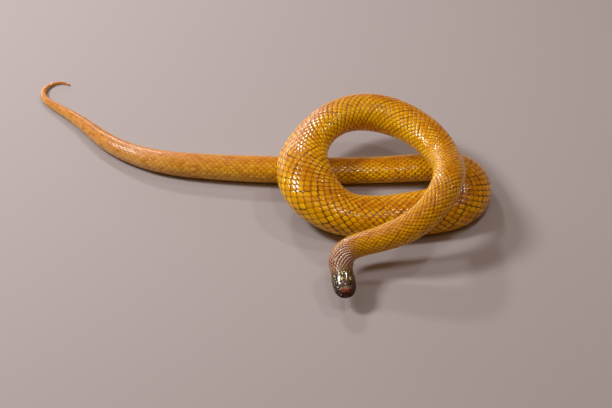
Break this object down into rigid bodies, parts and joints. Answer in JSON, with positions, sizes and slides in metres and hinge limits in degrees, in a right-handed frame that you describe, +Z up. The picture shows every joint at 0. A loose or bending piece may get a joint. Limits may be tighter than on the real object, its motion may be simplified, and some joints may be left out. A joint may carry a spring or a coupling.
{
  "type": "coiled inland taipan snake",
  "caption": "Life-size inland taipan lying in one loose loop on its belly, the slender tail trailing to a hooked tip and the head held just off the ground.",
  "frame": {"origin": "centre of the bounding box, at floor level", "axes": "+X along the longest extent, from the tail tip towards the loop; -Y is the side the head faces; +Z up"},
  "size_m": [0.5706, 0.4335, 0.0851],
  "materials": {
    "body_scales": "satin, smooth overlapping scales, golden olive with dark flecks, yellow belly",
    "head_scales": "glossy head shields, dark maroon snout and golden brown nape",
    "eye": "wet gloss"
  },
  "bodies": {
    "root": {"head": "head_scales", "eye_left": "eye", "eye_right": "eye", "neck": "body_scales", "trunk_1": "body_scales", "trunk_2": "body_scales", "trunk_3": "body_scales", "trunk_4": "body_scales", "trunk_5": "body_scales", "trunk_6": "body_scales", "trunk_7": "body_scales", "trunk_8": "body_scales", "trunk_9": "body_scales", "tail": "body_scales", "tail_tip": "body_scales"}
  },
  "joints": []
}
